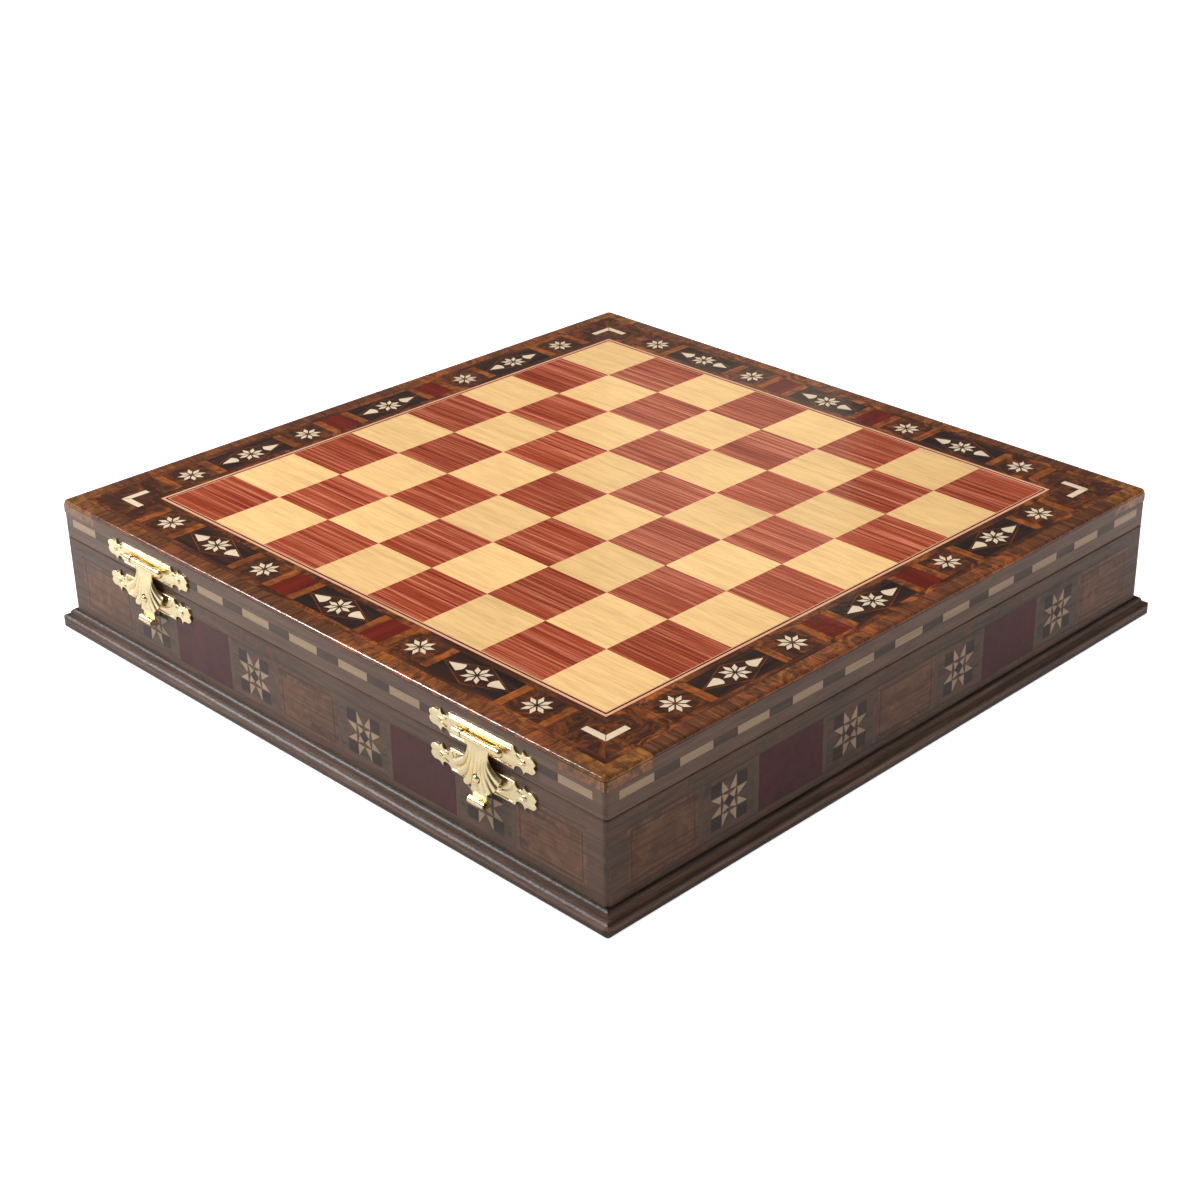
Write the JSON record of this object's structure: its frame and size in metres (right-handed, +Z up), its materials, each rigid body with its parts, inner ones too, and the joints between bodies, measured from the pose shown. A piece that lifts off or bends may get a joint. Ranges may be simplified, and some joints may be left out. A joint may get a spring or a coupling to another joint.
{
  "type": "chess box with hinged lid",
  "caption": "Square marquetry case with a chess board on its hinged lid, star and lozenge inlay, moulded foot, brass hasp latches and butt hinges.",
  "frame": {"origin": "middle of the base, on the surface the box stands on", "axes": "+Z up through the lid, -Y out of the front with the latches, +X to the right seen from the front; hinges at +Y"},
  "size_m": [0.4106, 0.4106, 0.0732],
  "materials": {
    "carcass_wood": "satin lacquer",
    "base_felt": "felt",
    "moulding_wood": "satin lacquer",
    "lining": "short velvet",
    "side_wood": "satin lacquer",
    "burl_side": "satin lacquer",
    "red_side": "satin lacquer",
    "pale_side": "satin lacquer",
    "dark_side": "satin lacquer",
    "star_side": "satin lacquer",
    "brass": "polished, lightly toned",
    "light_square": "gloss lacquer",
    "red_square": "gloss lacquer",
    "pale_line": "gloss lacquer",
    "ebony": "gloss lacquer",
    "walnut_band": "gloss lacquer",
    "walnut_edge": "gloss lacquer",
    "yellow_burl": "gloss lacquer",
    "walnut_tile": "gloss lacquer",
    "inlay": "gloss lacquer",
    "bar_wood": "gloss lacquer",
    "red_tile": "gloss lacquer",
    "dash": "satin lacquer",
    "block": "satin lacquer"
  },
  "bodies": {
    "case": {"case_wall_front": "carcass_wood", "case_wall_right": "carcass_wood", "case_wall_back": "carcass_wood", "case_wall_left": "carcass_wood", "bottom_panel": "carcass_wood", "base_felt": "base_felt", "base_moulding_front": "moulding_wood", "base_moulding_right": "moulding_wood", "base_moulding_back": "moulding_wood", "base_moulding_left": "moulding_wood", "floor_linings": "lining", "wall_linings": "lining", "divider": "carcass_wood", "case_side_veneer": "side_wood", "case_burl_panels": "burl_side", "case_red_panels": "red_side", "case_pale_strips": "pale_side", "case_panel_lines": "dark_side", "case_star_squares": "dark_side", "case_star_points": "star_side", "latch_lower_plate_left": "brass", "latch_lower_plate_right": "brass", "latch_nails_lower": "brass", "hinge_leaves_case": "brass", "hinge_pins": "brass", "hinge_screws_case": "brass"},
    "lid": {"lid_panel": "carcass_wood", "lid_rail_front": "carcass_wood", "lid_rail_right": "carcass_wood", "lid_rail_back": "carcass_wood", "lid_rail_left": "carcass_wood", "lid_lining": "lining", "light_squares": "light_square", "red_squares": "red_square", "board_pale_lines": "pale_line", "board_dark_line": "ebony", "border_bands": "walnut_band", "edge_banding": "walnut_edge", "corner_caps": "yellow_burl", "border_corner_tiles": "walnut_tile", "border_corner_strips": "inlay", "border_star_tiles": "walnut_tile", "border_star_points": "inlay", "border_cross_bars": "bar_wood", "border_red_tiles": "red_tile", "lozenge_fields": "walnut_tile", "lozenge_corners": "ebony", "lozenge_outlines": "bar_wood", "border_drops": "inlay", "lid_side_veneer": "side_wood", "lid_side_dashes": "dash", "lid_side_blocks": "block", "latch_upper_plate_left": "brass", "latch_upper_plate_right": "brass", "latch_nails_upper": "brass", "latch_pins": "brass", "hinge_leaves_lid": "brass", "hinge_screws_lid": "brass"},
    "tongue_left": {"latch_tongue_left": "brass"},
    "tongue_right": {"latch_tongue_right": "brass"}
  },
  "joints": [
    {"name": "lid_hinge", "type": "hinge", "parent": "case", "child": "lid", "pos_m": [0, 0.20165, 0.05275], "axis": [-1, 0, 0], "range_deg": [0, 95]},
    {"name": "tongue_left_hinge", "type": "hinge", "parent": "lid", "child": "tongue_left", "pos_m": [-0.1239, -0.2023, 0.062], "axis": [-1, 0, 0], "range_deg": [0, 165]},
    {"name": "tongue_right_hinge", "type": "hinge", "parent": "lid", "child": "tongue_right", "pos_m": [0.1239, -0.2023, 0.062], "axis": [-1, 0, 0], "range_deg": [0, 165]}
  ]
}
